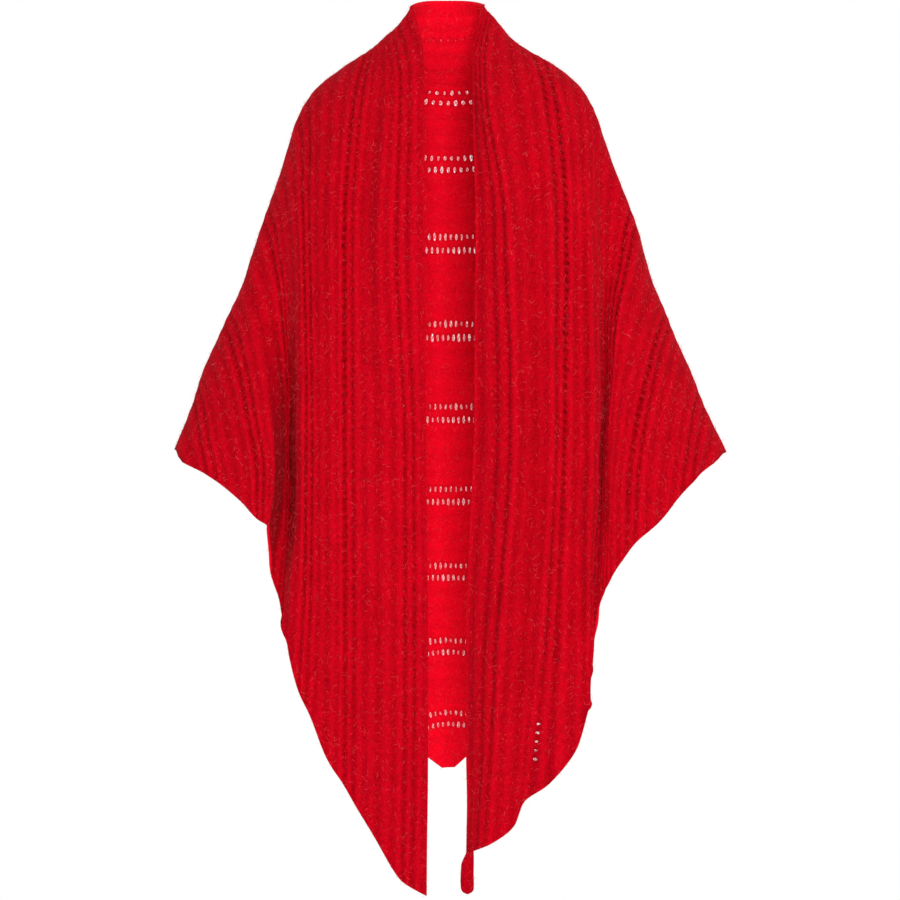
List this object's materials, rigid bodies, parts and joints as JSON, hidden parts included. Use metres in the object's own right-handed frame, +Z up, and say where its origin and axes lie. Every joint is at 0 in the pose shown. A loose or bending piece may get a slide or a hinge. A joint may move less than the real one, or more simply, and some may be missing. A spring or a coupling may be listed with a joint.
{
  "type": "shawl cloak",
  "caption": "Red openwork knit triangular shawl worn as an open-front cloak, with bands of eyelets, long front ends, pointed back and wing tips over the arms",
  "frame": {"origin": "centre of the neck_rest mount, between the shoulders at the height where the cloth leaves the neck", "axes": "X runs from the wearer's right wing tip to the wearer's left wing tip, which is from left to right as seen from the front; the open front faces -Y; +Z is up"},
  "size_m": [0.6982, 0.2531, 1.1301],
  "materials": {
    "knit": "soft brushed knit with a light halo of fibres"
  },
  "bodies": {
    "root": {"neck_band": "knit", "back": "knit", "left_front": "knit", "right_front": "knit", "left_wing": "knit", "right_wing": "knit", "right_tail": "knit"}
  },
  "joints": []
}
